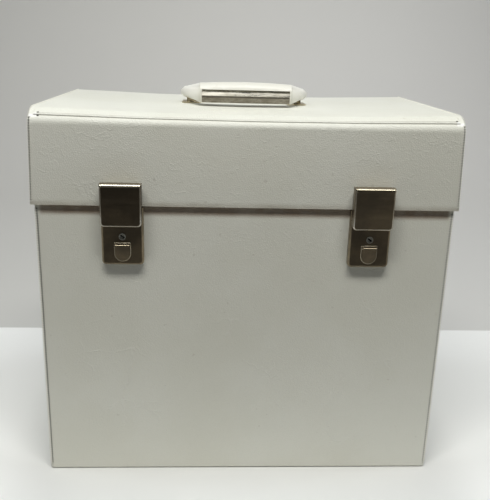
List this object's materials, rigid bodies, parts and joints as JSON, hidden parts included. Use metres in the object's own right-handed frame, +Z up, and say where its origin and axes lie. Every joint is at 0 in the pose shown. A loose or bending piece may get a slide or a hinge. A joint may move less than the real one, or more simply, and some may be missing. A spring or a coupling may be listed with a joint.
{
  "type": "record carrying case",
  "caption": "White vinyl-covered carrying case for 12-inch records with a hinged lid, two flap latches with key locks and a folding handle.",
  "frame": {"origin": "middle of the underside of the body", "axes": "+Z up through the lid, +X to the right as seen from the latches, -Y towards the latches"},
  "size_m": [0.355, 0.2332, 0.3466],
  "materials": {
    "white_vinyl": "satin, grained",
    "board": "matte",
    "lining_paper": "matte",
    "batten_wood": "matte",
    "antique_brass": "dark antique",
    "bright_steel": "polished",
    "spring_steel": "satin",
    "cream_plastic": "satin"
  },
  "bodies": {
    "case_body": {"body_front_cover": "white_vinyl", "body_back_cover": "white_vinyl", "body_left_cover": "white_vinyl", "body_right_cover": "white_vinyl", "body_bottom_cover": "white_vinyl", "body_front_board": "board", "body_back_board": "board", "body_left_board": "board", "body_right_board": "board", "body_bottom_board": "board", "collar_front": "lining_paper", "collar_back": "lining_paper", "collar_left": "lining_paper", "collar_right": "lining_paper", "body_lining": "lining_paper", "body_rivets": "antique_brass", "hinge_pins": "spring_steel", "hinge_left_body_leaf": "antique_brass", "hinge_right_body_leaf": "antique_brass", "lock_case_left": "antique_brass", "lock_case_right": "antique_brass", "lock_plate_left": "spring_steel", "lock_plate_right": "spring_steel", "bolt_spring_left": "spring_steel", "bolt_spring_right": "spring_steel"},
    "lid": {"lid_wrap_cover": "white_vinyl", "lid_left_cover": "white_vinyl", "lid_right_cover": "white_vinyl", "lid_front_board": "board", "lid_back_board": "board", "lid_top_board": "board", "lid_left_board": "board", "lid_right_board": "board", "lid_batten": "batten_wood", "lid_lining": "lining_paper", "lid_rivets": "antique_brass", "hinge_left_lid_leaf": "antique_brass", "hinge_right_lid_leaf": "antique_brass", "hasp_pins": "spring_steel", "hasp_springs": "spring_steel", "hasp_bracket_left": "spring_steel", "hasp_bracket_right": "spring_steel", "handle_bracket_left": "antique_brass", "handle_bracket_right": "antique_brass", "handle_backing_plates": "spring_steel", "handle_pins": "antique_brass"},
    "hasp_left": {"hasp_left": "antique_brass", "hasp_tongue_left": "spring_steel"},
    "button_left": {"release_button_left": "antique_brass", "bolt_left": "spring_steel"},
    "key_left": {"key_barrel_left": "antique_brass"},
    "hasp_right": {"hasp_right": "antique_brass", "hasp_tongue_right": "spring_steel"},
    "button_right": {"release_button_right": "antique_brass", "bolt_right": "spring_steel"},
    "key_right": {"key_barrel_right": "antique_brass"},
    "handle": {"handle_pad": "cream_plastic", "handle_trim": "bright_steel", "handle_core": "spring_steel"}
  },
  "joints": [
    {"name": "lid_hinge", "type": "hinge", "parent": "case_body", "child": "lid", "pos_m": [0, 0.10975, 0.2505], "axis": [-1, 0, 0], "range_deg": [0, 180]},
    {"name": "hasp_left", "type": "hinge", "parent": "lid", "child": "hasp_left", "pos_m": [-0.1032, -0.1132, 0.2691], "axis": [-1, 0, 0], "range_deg": [0, 92]},
    {"name": "button_left", "type": "slide", "parent": "case_body", "child": "button_left", "axis": [0, 0, -1], "range_m": [0, 0.002], "stiffness_N_per_m": 600, "deforming": ["bolt_spring_left"]},
    {"name": "key_left", "type": "hinge", "parent": "case_body", "child": "key_left", "pos_m": [-0.1032, -0.1124, 0.2252], "axis": [0, 1, 0], "range_deg": [0, 90]},
    {"name": "hasp_right", "type": "hinge", "parent": "lid", "child": "hasp_right", "pos_m": [0.1032, -0.1132, 0.2691], "axis": [-1, 0, 0], "range_deg": [0, 92]},
    {"name": "button_right", "type": "slide", "parent": "case_body", "child": "button_right", "axis": [0, 0, -1], "range_m": [0, 0.002], "stiffness_N_per_m": 600, "deforming": ["bolt_spring_right"]},
    {"name": "key_right", "type": "hinge", "parent": "case_body", "child": "key_right", "pos_m": [0.1032, -0.1124, 0.2252], "axis": [0, 1, 0], "range_deg": [0, 90]},
    {"name": "handle_pivot", "type": "hinge", "parent": "lid", "child": "handle", "pos_m": [0, 0.014, 0.3349], "axis": [-1, 0, 0], "range_deg": [0, 172]}
  ]
}
